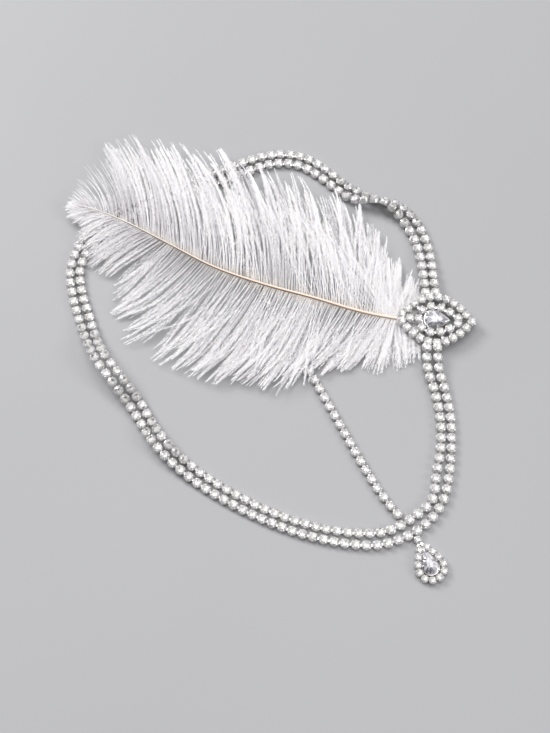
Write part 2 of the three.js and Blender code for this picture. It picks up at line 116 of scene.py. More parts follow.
CENTER_ROUTE = [
    (-19.2, -86.8, 0), (-22, -83.4, 0), (-27.1, -76.2, 0), (-34, -64.4, 0), (-44.7, -44.4, 0),
    (-55.6, -23.9, 0), (-67, -4, 0), (-80, 19, 0), (-92.6, 41.4, 0), (-104.6, 62.9, 0),
]
QUILL_ROUTE = [
    (-5.2, 0.4, 1.4), (-13.7, 1.9, 1.4), (-21, 3, 1.9), (-34, 5.4, 3.3), (-54, 10.8, 5.6),
    (-78.5, 17.2, 7.6), (-99.6, 24.8, 8.6), (-120, 35.9, 8.8), (-138.9, 46.6, 8),
    (-152.8, 53.1, 7), (-163.5, 56.8, 5.6),
]

# Barbs on each side of the quill: place along the vane as a share, how far the barb's end lies
# towards the tip and out from its root, the height of its end, and how early it turns outwards
UPPER_BARBS = [
    (0.0, -7, 12, 1.6, 0.2), (0.013, -4.9, 20.6, 1.8, 0.25), (0.025, 1.9, 28, 2, 0.5),
    (0.055, 4.9, 32.3, 2.4, 0.6), (0.083, 9.4, 40.7, 2.8, 0.62), (0.13, 11.4, 51.1, 3.4, 0.64),
    (0.168, 18.4, 54.9, 3.9, 0.66), (0.206, 23.9, 55.4, 4.4, 0.66), (0.246, 23.8, 56.3, 4.5, 0.66),
    (0.288, 17, 59.2, 4.6, 0.66), (0.341, 20, 57.5, 4.6, 0.66), (0.401, 29, 55.7, 4.6, 0.66),
    (0.441, 33.9, 61.5, 4.6, 0.66), (0.471, 35.4, 57.5, 4.6, 0.66), (0.499, 39.9, 53.7, 4.7, 0.66),
    (0.536, 44.5, 52.2, 4.8, 0.65), (0.619, 45.9, 44.9, 4.8, 0.63), (0.682, 38.1, 37.4, 4.8, 0.62),
    (0.739, 39.3, 40.8, 4.8, 0.62), (0.792, 38.6, 32.5, 4.8, 0.62), (0.827, 30.4, 30.7, 4.8, 0.62),
    (0.867, 24.9, 21.9, 4.8, 0.62), (0.93, 15.3, 9.2, 5, 0.62), (0.982, 6.8, 2.5, 5, 0.6),
    (1, 3.4, 0, 5, 0.5),
]
# A few more barbs over the upper side near the ornament, which sweep further towards the tip
UPPER_SWEEP = [
    (0.0, 15, 20, 3.4, 0.4), (0.04, 22, 29, 4.4, 0.45), (0.1, 25, 36, 5.2, 0.5),
    (0.18, 27, 42, 5.8, 0.52), (0.3, 28, 46, 6.2, 0.55),
]
LOWER_BARBS = [
    (0.0, -9.8, 8.8, 1.2, 0.1), (0.005, -8.6, 19.3, 1.2, 0.15), (0.018, -3.8, 22.2, 1.3, 0.3),
    (0.025, 4.2, 27.1, 1.4, 0.5), (0.058, 10.3, 27.7, 2, 0.56), (0.108, 14.5, 33.2, 3.3, 0.6),
    (0.175, 15, 38.5, 4.7, 0.63), (0.246, 8.6, 47.9, 4.9, 0.64), (0.308, 17.7, 45.4, 5.2, 0.65),
    (0.368, 15.8, 49.2, 4.8, 0.66), (0.435, 19.5, 50.5, 3.6, 0.66), (0.509, 19.3, 49.8, 2.2, 0.67),
    (0.582, 19.4, 46.5, 1.6, 0.66), (0.64, 16, 41, 1.5, 0.64), (0.68, 12.9, 35.5, 1.5, 0.62),
    (0.7, 15, 26, 1.8, 0.56), (0.713, 13.2, 25.3, 2.2, 0.5), (0.75, 14.5, 26.5, 3, 0.42),
    (0.796, 13.7, 24.2, 3.8, 0.38), (0.84, 12.5, 18.5, 4.4, 0.38), (0.877, 11.9, 13.7, 4.6, 0.4),
    (0.898, 13.1, 10.4, 4.8, 0.42), (0.93, 11.5, 7.5, 4.8, 0.45), (0.97, 7, 3.4, 5, 0.5),
    (1, 3.4, 0, 5, 0.5),
]


# Curves

def catmull(points, closed=False, steps=48):
    """The same centripetal curve as the solids follow: its points, and the row number at each."""
    points = np.array(points, float)
    count = len(points)
    spans = count if closed else count - 1
    found, rows = [], []
    for i in range(spans):
        p1, p2 = points[i], points[(i + 1) % count]
        p0 = points[(i - 1) % count] if closed or i > 0 else 2 * p1 - p2
        p3 = points[(i + 2) % count] if closed or i + 2 < count else 2 * p2 - p1
        pairs = ((p0, p1), (p1, p2), (p2, p3))
        d0, d1, d2 = (max(np.sum((b - a) ** 2) ** 0.25, 1e-4) for a, b in pairs)
        t1 = ((p1 - p0) / d0 - (p2 - p0) / (d0 + d1) + (p2 - p1) / d1) * d1
        t2 = ((p2 - p1) / d1 - (p3 - p1) / (d1 + d2) + (p3 - p2) / d2) * d1
        square = 3 * (p2 - p1) - 2 * t1 - t2
        cube = 2 * (p1 - p2) + t1 + t2
        t = np.arange(steps)[:, None] / steps
        found.append(p1 + t1 * t + square * t ** 2 + cube * t ** 3)
        rows.append(i + t[:, 0])
    found.append(points[:1] if closed else points[-1:])
    rows.append([spans])
    return np.concatenate(found), np.concatenate(rows)


class Curve:
    """A curve walked by its length."""

    def __init__(self, points, closed=False):
        self.points, self.rows = catmull(points, closed)
        steps = np.linalg.norm(np.diff(self.points, axis=0), axis=1)
        self.walked = np.concatenate([[0], np.cumsum(steps)])
        self.length = self.walked[-1]
        self.tangents = np.gradient(self.points, axis=0)

    def _at(self, values, shares):
        walked = np.asarray(shares) * self.length
        return np.stack([np.interp(walked, self.walked, values[:, k]) for k in range(3)], -1)

    def at(self, shares):
        return self._at(self.points, shares)

    def tangent(self, shares):
        return unit(self._at(self.tangents, shares))

    def row(self, shares):
        return np.interp(np.asarray(shares) * self.length, self.walked, self.rows)


def unit(vectors):
    return vectors / np.maximum(np.linalg.norm(vectors, axis=-1, keepdims=True), 1e-9)


def smooth(low, high, x):
    t = np.clip((x - low) / (high - low), 0, 1)
    return t * t * (3 - 2 * t)


def angles_round(count):
    return np.arange(count) / count * 2 * math.pi


def turn_matrix(angles):
    """What turns rows of points about the upright axis, for one angle or for each of several."""
    c, s, zero, one = np.cos(angles), np.sin(angles), np.zeros_like(angles), np.ones_like(angles)
    rows = [np.stack(row, -1) for row in ((c, s, zero), (-s, c, zero), (zero, zero, one))]
    return np.stack(rows, -2)


# Meshes

class Heap:
    """Gathers many small shapes into one mesh, with a tone for each face."""

    def __init__(self):
        self.points, self.faces, self.tones, self.count = [], [], [], 0

    def add(self, points, faces, tones=1.0):
        points = points.reshape(-1, 3)
        self.points.append(points)
        for group in faces:
            self.faces.append(group + self.count)
            self.tones.append(np.broadcast_to(tones, len(group)) if np.ndim(tones) == 0 else tones)
        self.count += len(points)

    def copies(self, template, places, frames, tones=None):
        """One copy of a template at each place, turned by its frame of three rows."""
        points, faces = template
        moved = places[:, None, :] + np.einsum("vk,nkc->nvc", points, frames)
        steps = np.arange(len(places))[:, None, None] * len(points)
        base = self.count
        self.points.append(moved.reshape(-1, 3))
        self.count += moved.shape[0] * moved.shape[1]
        start = 0
        for group in faces:
            self.faces.append((group[None] + steps).reshape(-1, group.shape[1]) + base)
            size = len(places) * len(group)
            if tones is None:
                self.tones.append(np.ones(size))
            else:
                self.tones.append(tones[:, start:start + len(group)].ravel())
            start += len(group)

    def piece(self, name, material, slot, *nodes, flat=True, sharp=None):
        mesh = bpy.data.meshes.new(name)
        points = (np.concatenate(self.points) + SHIFT) * MM
        mesh.vertices.add(len(points))
        mesh.vertices.foreach_set("co", points.ravel())
        corners = np.concatenate([group.ravel() for group in self.faces])
        sides = np.concatenate([np.full(len(group), group.shape[1]) for group in self.faces])
        mesh.loops.add(len(corners))
        mesh.loops.foreach_set("vertex_index", corners.astype(np.int32))
        mesh.polygons.add(len(sides))
        mesh.polygons.foreach_set("loop_start", (np.cumsum(sides) - sides).astype(np.int32))
        mesh.polygons.foreach_set("use_smooth", np.full(len(sides), not flat))
        mesh.update(calc_edges=True)
        tone = mesh.attributes.new("tone", "FLOAT", "FACE")
        tone.data.foreach_set("value", np.concatenate(self.tones).astype(np.float32))
        if sharp:
            mesh.set_sharp_from_angle(angle=math.radians(sharp))
        mesh.materials.append(material)
        made = bpy.data.objects.new(name, mesh)
        bpy.context.scene.collection.objects.link(made)
        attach(made, "root")
        if nodes:
            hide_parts(*nodes)
        return made


def ring_faces(rings, sides, closed_ends=True):
    """Quads between rings of points, with a face over each end."""
    index = np.arange(rings * sides).reshape(rings, sides)
    ahead = np.roll(index, -1, axis=1)
    quads = np.stack([index[:-1], ahead[:-1], ahead[1:], index[1:]], -1).reshape(-1, 4)
    if not closed_ends:
        return [quads]
    return [quads, index[:1, ::-1], index[-1:]]


def lathe(profile, sides):
    """A turned shape; its profile of (radius, height) runs from the underside round to the inside."""
    angles = angles_round(sides)
    rings = [np.stack([np.cos(angles) * radius, np.sin(angles) * radius, np.full(sides, height)], -1)
             for radius, height in profile]
    return np.concatenate(rings), ring_faces(len(profile), sides)


def joined(*templates):
    """Several templates as one."""
    points, faces, count = [], [], 0
    for shape_points, shape_faces in templates:
        points.append(shape_points)
        faces += [group + count for group in shape_faces]
        count += len(shape_points)
    return np.concatenate(points), faces


def sections(loops):
    """A closed tube through loops of equally many points."""
    loops = np.array(loops, float)
    return loops.reshape(-1, 3), ring_faces(*loops.shape[:2])


# Stones

ROUND_FOLD = 8  # facets round the table of a round stone
PEAR_FOLD = 16
ROUND_TABLE = 0.56  # flat top of a stone as a share of its width
PEAR_TABLE = 0.45
PEAR_DEPTH = 1.5
KITE_CORNER = (0.8, 0.52)  # where star and girdle facets meet, as shares of the radius and the crown
GIRDLE = 0.08
WIDEST = 4 / (3 * math.sqrt(3))

# Tones of a round stone's facets, which paint its reflections and highlights. Those of the table start
# at its grey side, which is painted shade. Star and kite facets follow the table's tones, by a share of
# them and a lightness that is added.
TABLE_TONES = [0.3, 0.45, 0.7, 0.95, 0.95, 0.95, 0.95, 0.5]
STAR_TONES = (0.5, 0.35)
KITE_TONES = (0.4, 0.55)
UPPER_TONES = (0.95, 0.7)
UNDER_TONE = 0.5
GIRDLE_TONE = 0.75
TONE_SPREAD = (0.82, 1.12)
PAINTED_DARK_FACETS = 0.05  # share of facets that are dark by chance: painted dark reflections
DARK_TONE = 0.4

# Tones of a pear-cut stone's facets, which paint its reflections: a painted highlight on one side,
# broken up by chance.
PEAR_TONE = 0.62
PEAR_HIGHLIGHT = 0.35  # how much lighter a pear-cut stone's side with the painted highlight is
PEAR_SPREAD = (-0.42, 0.34)
PEAR_DARKEST = 0.05


def round_edge(angles, shares, heights):
    return np.stack([np.cos(angles) * shares, np.sin(angles) * shares, heights], -1)


def drop_edge(length, width):
    """Takes an angle and a share of the radius to a drop outline whose point looks along +X."""
    def edge(angles, shares, heights):
        side = np.sin(angles) * np.abs(np.sin(angles / 2)) / WIDEST
        return np.stack([np.cos(angles) * shares * length / 2, side * shares * width / 2, heights], -1)
    return edge


def cut_stone(edge, fold, crown, depth, table):
    """A faceted stone with its girdle's top at height 0: table, star, kite and girdle facets."""
    step = 2 * math.pi / fold
    k, j = np.arange(fold), np.arange(2 * fold)
    rings = [
        (np.zeros(1), 0, crown), (k * step, table, crown),
        ((k + 0.5) * step, KITE_CORNER[0], crown * KITE_CORNER[1]),
        (j * step / 2, 1, 0), (j * step / 2, 1, -GIRDLE), (np.zeros(1), 0, -depth),
    ]
    sizes = [len(angles) for angles, _, _ in rings]
    angles = np.concatenate([angles for angles, _, _ in rings])
    shares = np.repeat([share for _, share, _ in rings], sizes)
    heights = np.repeat([height for _, _, height in rings], sizes)
    points = edge(angles, shares, heights)

    # The first point of each ring, and the faces between them
    t, m, g, low, tip = np.cumsum(sizes)[:-1]
    ahead, after = (k + 1) % fold, (j + 1) % (2 * fold)
    table_faces = np.stack([np.zeros(fold, int), t + k, t + ahead], -1)
    stars = np.stack([t + k, m + k, t + ahead], -1)
    upper = np.concatenate([
        np.stack([m + k, g + 2 * k, g + 2 * k + 1], -1),
        np.stack([m + k, g + 2 * k + 1, g + (2 * k + 2) % (2 * fold)], -1),
    ])
    under = np.stack([low + j, np.full(2 * fold, tip), low + after], -1)
    kites = np.stack([t + k, m + (k - 1) % fold, g + 2 * k, m + k], -1)
    band = np.stack([g + j, low + j, low + after, g + after], -1)
    return points, [np.concatenate([table_faces, stars, upper, under]), np.concatenate([kites, band])]


def painted_stone_tones(turns):
    """A tone for each facet of round stones, which paints their reflections, with the grey side of each
    table, its painted shade, at the turn given.
    """
    count = len(turns)
    table = np.stack([np.roll(TABLE_TONES, turn) for turn in turns])
    stars = np.roll(table, 1, axis=1) * STAR_TONES[0] + STAR_TONES[1]
    upper = np.tile(np.repeat(UPPER_TONES, ROUND_FOLD), (count, 1))
    under = np.full((count, 2 * ROUND_FOLD), UNDER_TONE)
    kites = table * KITE_TONES[0] + KITE_TONES[1]
    band = np.full((count, 2 * ROUND_FOLD), GIRDLE_TONE)
    tones = np.concatenate([table, stars, upper, under, kites, band], 1)
    tones = tones * stone_draw.uniform(*TONE_SPREAD, tones.shape)
    dark = stone_draw.random(tones.shape) < PAINTED_DARK_FACETS
    return np.clip(np.where(dark, tones * DARK_TONE, tones), 0, 1)


def painted_pear_tones(stone, highlight_side):
    """A tone for each facet of a pear-cut stone, as painted reflections: a painted highlight towards
    one side, broken up by chance.
    """
    points, faces = stone
    middles = np.concatenate([points[group].mean(axis=1) for group in faces])
    side = middles[:, :2] @ np.array(highlight_side) / np.abs(points[:, 1]).max()
    tones = PEAR_TONE + PEAR_HIGHLIGHT * side + stone_draw.uniform(*PEAR_SPREAD, len(side))
    return np.clip(tones, PEAR_DARKEST, 1)[None]


# Cups

METAL_SHARP = 35  # degrees between faces above which metal has a sharp edge
CUP_SIDES = 20
# Shares of the cup's radius and heights, from the underside round to the inside
CUP_PROFILE = [
    (0.7, 0), (0.94, 0.12), (1, 0.45), (1, 1.85), (0.985, 2.12), (0.93, 2.2), (0.88, 2.1), (0.86, 1.3),
]
# A claw from foot to tip: its inside and outside as shares of the cup's radius, height, half width
CLAW_SECTIONS = [
    (0.93, 1.03, 1.5, 0.34), (0.93, 1.07, 2.2, 0.34), (0.88, 1.03, 2.62, 0.3), (0.7, 0.8, 2.98, 0.2),
]
# How much of a stone's width, crown and depth shows in its cup
STONE_IN_CUP = (0.985, 0.97, 0.85)
# A link between two cups: place along it, half width, height of its top
TAB_SECTIONS = [(-0.5, 0.75, 1.25), (-0.14, 0.5, 1.1), (0.14, 0.5, 1.1), (0.5, 0.75, 1.25)]
TAB_UNDERSIDE = 0.42
SPIN = 0.12  # how far a stone may be turned in its cup
PAINTED_SHADE_SIDE = math.radians(95)  # where the grey side of a stone's table looks: painted shade that faces one way on every stone


def prong(turn, radius):
    """A small claw that bends over the edge of a stone, for a cup of that radius."""
    points, faces = sections([
        [(inside * radius, -half, height), (outside * radius, -half, height),
         (outside * radius, half, height), (inside * radius, half, height)]
        for inside, outside, height, half in CLAW_SECTIONS
    ])
    return points @ turn_matrix(turn), faces


def cup(stone):
    """A cup with four claws, its underside at height 0."""
    radius = stone / 2 + CUP_WALL
    body = lathe([(share * radius, height) for share, height in CUP_PROFILE], CUP_SIDES)
    claws = [prong(math.pi / 4 + k * math.pi / 2, radius) for k in range(4)]
    return joined(body, *claws)


def stone_in_cup(stone):
    width, crown, depth = STONE_IN_CUP
    points, faces = cut_stone(round_edge, ROUND_FOLD, 1, 1, ROUND_TABLE)
    points = points * np.array([stone / 2 * width, stone / 2 * width, 1])
    heights = points[:, 2]
    points[:, 2] = np.where(heights > 0, heights * CROWN * crown, heights * depth) + CUP_HEIGHT
    return points, faces


TAB = sections([
    [(x, -half, top), (x, half, top), (x, half, TAB_UNDERSIDE), (x, -half, TAB_UNDERSIDE)]
    for x, half, top in TAB_SECTIONS
])


def frames_of(tangents, leans):
    """Rows of each frame: along the chain, across it, and the way the stones face."""
    side = unit(np.cross(tangents, UP))
    normal = np.cross(side, tangents)
    c, s = np.cos(leans)[:, None], np.sin(leans)[:, None]
    normal = normal * c + np.cross(tangents, normal) * s
    return np.stack([tangents, np.cross(normal, tangents), normal], 1)


def add_cups(metal, stones, places, frames, stone):
    """Cups into one heap and their stones, each turned a little, into the other."""
    metal.copies(cup(stone), places, frames)
    turns = turn_matrix(stone_draw.uniform(-SPIN, SPIN, len(places)))
    heading = np.arctan2(frames[:, 0, 1], frames[:, 0, 0])
    # The painted shaded side of every stone's table is turned the same way.
    grey = np.round((PAINTED_SHADE_SIDE - heading) / (2 * math.pi / ROUND_FOLD)).astype(int)
    grey = grey + stone_draw.integers(-1, 2, len(places))
    stones.copies(stone_in_cup(stone), places, turns @ frames, painted_stone_tones(grey))


def add_tabs(metal, places, frames, closed=False):
    """A link between each cup and the next."""
    ahead, facing = np.roll(places, -1, axis=0), np.roll(frames[:, 2], -1, axis=0)
    count = len(places) if closed else len(places) - 1
    run = (ahead - places)[:count]
    along = unit(run)
    normal = unit((frames[:, 2] + facing)[:count])
    across = unit(np.cross(normal, along))
    spans = np.stack([run, across, np.cross(along, across)], 1)
    metal.copies(TAB, (places[:count] + ahead[:count]) / 2, spans)


def row_of_stones(name, route, node):
    """A row of cups and stones along its route, with no cup below the floor."""
    height = CUP_HEIGHT + CROWN
    curve = Curve([(x, y, underside + height / 2) for x, y, underside, *_ in route])
    count = round(curve.length / STRAND_PITCH)
    shares = np.arange(count + 1) / count
    leans = [(*row, 0)[3] for row in route]
    leans = np.radians(np.interp(curve.row(shares), np.arange(len(route)), leans))
    frames = frames_of(curve.tangent(shares), leans)
    places = curve.at(shares)
    places[:, 2] = np.maximum(places[:, 2], height / 2)
    places = places - frames[:, 2] * height / 2
    dip = (STRAND_STONE / 2 + CUP_WALL) * np.linalg.norm(frames[:, 2, :2], axis=1)
    places[:, 2] = np.maximum(places[:, 2], dip)
    metal, stones = Heap(), Heap()
    add_cups(metal, stones, places, frames, STRAND_STONE)
    add_tabs(metal, places, frames)
    metal.piece(name + "_cups", silver, "silver_metal", node, flat=False, sharp=METAL_SHARP)
    stones.piece(name + "_stones", crystal, "crystal", node)


# Materials

def material(name):
    made = bpy.data.materials.new(name)
    made.use_nodes = True
    nodes, links = made.node_tree.nodes, made.node_tree.links
    shader = nodes["Principled BSDF"]
    return made, nodes, links, shader


def noise(nodes, links, scale, detail=3.0):
    where = nodes.new("ShaderNodeTexCoord")
    texture = nodes.new("ShaderNodeTexNoise")
    texture.inputs["Scale"].default_value = scale
    texture.inputs["Detail"].default_value = detail
    links.new(where.outputs["Object"], texture.inputs["Vector"])
    return texture.outputs["Fac"]


def ramp(nodes, links, source, stops):
    made = nodes.new("ShaderNodeValToRGB")
    elements = made.color_ramp.elements
    while len(elements) < len(stops):
        elements.new(0.5)
    for element, (place, color) in zip(elements, stops):
        element.position = place
        element.color = (*color, 1)
    links.new(source, made.inputs["Fac"])
    return made.outputs["Color"]


def attribute(nodes, name):
    made = nodes.new("ShaderNodeAttribute")
    made.attribute_name = name
    return made.outputs["Fac"]


def span(nodes, links, source, low, high):
    made = nodes.new("ShaderNodeMapRange")
    made.inputs["To Min"].default_value = low
    made.inputs["To Max"].default_value = high
    links.new(source, made.inputs["Value"])
    return made.outputs["Result"]


def bump(nodes, links, shader, height, strength, distance):
    made = nodes.new("ShaderNodeBump")
    made.inputs["Strength"].default_value = strength
    made.inputs["Distance"].default_value = distance
    links.new(height, made.inputs["Height"])
    links.new(made.outputs["Normal"], shader.inputs["Normal"])


def make_silver():
    made, nodes, links, shader = material("silver")
    shader.inputs["Metallic"].default_value = 0.85
    broad = noise(nodes, links, 140)
    links.new(ramp(nodes, links, broad, [
        (0.3, (0.64, 0.63, 0.61)), (0.5, (0.76, 0.75, 0.75)), (0.75, (0.85, 0.84, 0.85)),
    ]), shader.inputs["Base Color"])
    links.new(span(nodes, links, broad, 0.45, 0.25), shader.inputs["Roughness"])
    bump(nodes, links, shader, noise(nodes, links, 1800), 0.12, 0.0001)
    return made


def make_crystal(name, dark, middle, bright):
    made, nodes, links, shader = material(name)
    shader.inputs["Metallic"].default_value = 0.08
    shader.inputs["Coat Weight"].default_value = 1
    shader.inputs["Coat Roughness"].default_value = 0.02
    shader.inputs["Coat IOR"].default_value = 1.6
    # The ramp takes each facet's tone to dark, middle and bright: painted reflections and painted
    # shade.
    links.new(ramp(nodes, links, attribute(nodes, "tone"), [
        (0.1, dark), (0.6, middle), (0.95, bright),
    ]), shader.inputs["Base Color"])
    links.new(span(nodes, links, noise(nodes, links, 900), 0.03, 0.12), shader.inputs["Roughness"])
    return made


def make_plume():
    """White barbs, cream at their roots and grey where their tone is dark. The grey is partly tone that
    differs at random and partly painted shade, in the lower layers and near the quill.
    """
    made, nodes, links, shader = material("plume")
    mixed = nodes.new("ShaderNodeMath")
    mixed.operation = "MULTIPLY_ADD"
    links.new(noise(nodes, links, 60, 4), mixed.inputs[0])
    mixed.inputs[1].default_value = 0.35
    links.new(attribute(nodes, "tone"), mixed.inputs[2])
    links.new(ramp(nodes, links, mixed.outputs[0], [
        (0.04, (0.8, 0.74, 0.69)), (0.3, (0.44, 0.42, 0.45)),
        (0.7, (0.78, 0.76, 0.78)), (1.0, (0.97, 0.955, 0.965)),
    ]), shader.inputs["Base Color"])
    shader.inputs["Roughness"].default_value = 0.7
    shader.inputs["Sheen Weight"].default_value = 0.35
    shader.inputs["Specular IOR Level"].default_value = 0.25
    return made


def make_quill():
    """Cream at the clip and whiter towards the tip, with painted shading round it: a painted highlight
    on its upper side and painted shade, brown, on its lower edge, which grows clearer.
    """
    made, nodes, links, shader = material("quill")
    along = ramp(nodes, links, attribute(nodes, "along"), [
        (0.0, (0.86, 0.8, 0.74)), (0.15, (0.86, 0.73, 0.63)), (0.35, (0.85, 0.73, 0.62)),
        (0.6, (0.74, 0.66, 0.58)), (0.75, (0.7, 0.67, 0.64)), (0.87, (0.82, 0.82, 0.83)),
    ])
    # Painted shade and painted highlight round the quill, from its lower edge up.
    around = ramp(nodes, links, attribute(nodes, "around"), [
        (0.0, (0.22, 0.15, 0.11)), (0.42, (0.34, 0.24, 0.18)), (0.62, (0.9, 0.85, 0.8)),
        (0.85, (1, 1, 1)),
    ])
    mixed = nodes.new("ShaderNodeMix")
    mixed.data_type = "RGBA"
    mixed.blend_type = "MULTIPLY"
    links.new(span(nodes, links, attribute(nodes, "along"), 0.45, 2.2), mixed.inputs["Factor"])
    links.new(along, mixed.inputs["A"])
    links.new(around, mixed.inputs["B"])
    links.new(mixed.outputs["Result"], shader.inputs["Base Color"])
    links.new(span(nodes, links, noise(nodes, links, 400), 0.3, 0.5), shader.inputs["Roughness"])
    bump(nodes, links, shader, noise(nodes, links, 2500, 2), 0.15, 0.0001)
    return made


silver = make_silver()
crystal = make_crystal("crystal", (0.08, 0.08, 0.08), (0.4, 0.39, 0.385), (0.68, 0.665, 0.66))
lilac_crystal = make_crystal(
    "lilac_crystal", (0.1, 0.1, 0.12), (0.4, 0.39, 0.42), (0.7, 0.69, 0.71))
plume = make_plume()
quill_horn = make_quill()


# Camera, which looks down from the near side

TARGET = np.array([4.23, -6.79, 0])
DISTANCE = 579.6
ELEVATION = math.radians(72)
camera = bpy.data.objects.new("camera", bpy.data.cameras.new("camera"))
bpy.context.scene.collection.objects.link(camera)
back = np.array([0, -math.cos(ELEVATION), math.sin(ELEVATION)])
camera.location = (TARGET + DISTANCE * back) * MM
camera.rotation_euler = (math.pi / 2 - ELEVATION, 0, 0)
camera.data.lens = 63.85
camera.data.sensor_width = 36
camera.data.clip_start = 0.01
camera.data.clip_end = 20
bpy.context.scene.camera = camera

# Rows of stones

row_of_stones("outer_row", OUTER_ROUTE, "strand_outer")
row_of_stones("inner_row", INNER_ROUTE, "strand_inner")
row_of_stones("middle_row", CENTER_ROUTE, "center_strand")


# Ornament and drop

OUTLINE_POINTS = 96
SETTING_SIDES = 56
# Shares of the setting's outline and heights, from the underside round to the inside
SETTING_PROFILE = [
    (0.94, 0), (1, 0.25), (1, 1.95), (0.985, 2.15), (0.95, 2.2), (0.9, 2.1), (0.88, 1.5), (0.86, 0.6),
]
# A setting's claw from foot to tip: how far in from the wall, height, thickness, half width
SETTING_CLAW = [
    (-0.12, 0.2, 0.3, 0.42), (-0.12, 1.9, 0.32, 0.42), (0.28, 2.7, 0.34, 0.38),
    (1.0, 3.02, 0.22, 0.26), (1.25, 2.94, 0.12, 0.14),
]
CLAW_BEND = 1.9  # height above which a setting's claw bends
CLAW_BACK = 0.8  # width of a claw's back as a share of its front
CLAW_AIM = 0.12  # claws point this share of the setting's length past its middle
ORNAMENT_CLAWS = (0.24, 0.4, 0.6, 0.76)  # shares of a turn from the point of the setting
DROP_CLAWS = (0, 0.26, 0.4, 0.6, 0.74)
ORNAMENT_HIGHLIGHT = (0.2, 0.9)  # towards the painted highlight on the main stone, before it is turned
# Towards the painted highlight on the drop's stone, before it is turned.
DROP_HIGHLIGHT = (0.3, -0.8)
BAR_HALF = 0.55
BAR_HEIGHTS = (0.1, 0.75)


def leaf_outline(length, width):
    """A closed curve with a point at each end of the X axis."""
    angles = angles_round(OUTLINE_POINTS)
    side = np.sin(angles) * np.abs(np.sin(angles))
    level = np.zeros(OUTLINE_POINTS)
    return Curve(np.stack([np.cos(angles) * length / 2, side * width / 2, level], -1), closed=True)


def drop_outline(length, width):
    edge = drop_edge(length, width)
    points = edge(angles_round(OUTLINE_POINTS), np.ones(OUTLINE_POINTS), np.zeros(OUTLINE_POINTS))
    return Curve(points, closed=True)


def spread(curve, count, first):
    return curve.at((np.arange(count) + first) / count)


class Jewel:
    """Metal and stones made flat round the origin, then turned and lifted into place."""

    def __init__(self, turn, place):
        self.turn = turn_matrix(math.radians(turn))
        self.place = np.array(place, float)
        self.metal, self.stones, self.pear = Heap(), Heap(), Heap()

    def moved(self, places):
        return places @ self.turn + self.place

    def frames(self, places, closed):
        """Each cup's claws stand square to its ring."""
        if closed:
            tangents = np.roll(places, -1, axis=0) - np.roll(places, 1, axis=0)
        else:
            tangents = np.tile([1.0, 0, 0], (len(places), 1))
        return frames_of(unit(tangents) @ self.turn, np.zeros(len(places)))

    def ring(self, places, stone):
        frames = self.frames(places, True)
        add_cups(self.metal, self.stones, self.moved(places), frames, stone)
        add_tabs(self.metal, self.moved(places), frames, closed=True)

    def single(self, place, stone):
        places = np.array([place])
        add_cups(self.metal, self.stones, self.moved(places), self.frames(places, False), stone)

    def bars(self, pairs):
        """Plain bars that join the cups from below."""
        low, high = (UP * height for height in BAR_HEIGHTS)
        for start, end in pairs:
            across = unit(np.cross(UP, end - start)) * BAR_HALF
            points, faces = sections([
                [place - across + low, place + across + low,
                 place + across + high, place - across + high] for place in (start, end)
            ])
            self.metal.add(self.moved(points), faces)

    def wall(self, edge, move):
        """The wall round a pear-cut stone."""
        angles = angles_round(SETTING_SIDES)
        rings = [edge(angles, np.full(SETTING_SIDES, share), np.full(SETTING_SIDES, height))
                 for share, height in SETTING_PROFILE]
        faces = ring_faces(len(SETTING_PROFILE), SETTING_SIDES)
        self.metal.add(self.moved(np.concatenate(rings) + move), faces)

    def claw(self, foot, aim, move):
        """A claw that stands at a wall and bends over the stone's edge."""
        inward = unit(aim - foot)
        across = np.cross(UP, inward)
        loops = []
        for ahead, height, thick, half in SETTING_CLAW:
            at = foot + inward * ahead + UP * height
            back = unit(-inward + UP * max(0.0, height - CLAW_BEND)) * thick
            side, back_side = across * half, across * half * CLAW_BACK
            loops.append([at - side, at + back - back_side, at + back + back_side, at + side])
        points, faces = sections(loops)
        self.metal.add(self.moved(points + move), faces)

    def setting(self, length, width, shift, claws, highlight_side):
        """A pear-cut stone with the wall and the claws round it."""
        room = 2 * (GAP + SETTING_WALL)
        edge = drop_edge(length + room, width + room)
        aim = np.array([-(length + room) * CLAW_AIM, 0, 0])
        move = np.array([shift, 0, 0])
        self.wall(edge, move)
        for share in claws:
            foot = edge(np.array([share * 2 * math.pi]), np.ones(1), np.zeros(1))[0]
            self.claw(foot, aim, move)
        outline = drop_edge(length + PEAR_OVERSIZE, width + PEAR_OVERSIZE)
        stone = cut_stone(outline, PEAR_FOLD, CROWN, PEAR_DEPTH, PEAR_TABLE)
        girdle = np.array([[shift, 0, SETTING_HEIGHT + GAP]])
        # The stone's facets get painted reflections, with a painted highlight towards the side given.
        self.pear.copies(stone, self.moved(girdle), frames_of(self.turn[:1], np.zeros(1)),
                         painted_pear_tones(stone, highlight_side))

    def pieces(self, metal, stones, pear, setting_node, stone_node):
        self.metal.piece(metal, silver, "silver_metal", setting_node, flat=False, sharp=METAL_SHARP)
        self.stones.piece(stones, crystal, "crystal", setting_node)
        self.pear.piece(pear, lilac_crystal, "crystal", stone_node)


def nearest(place, places):
    return places[np.argmin(np.linalg.norm(places - place, axis=1))]


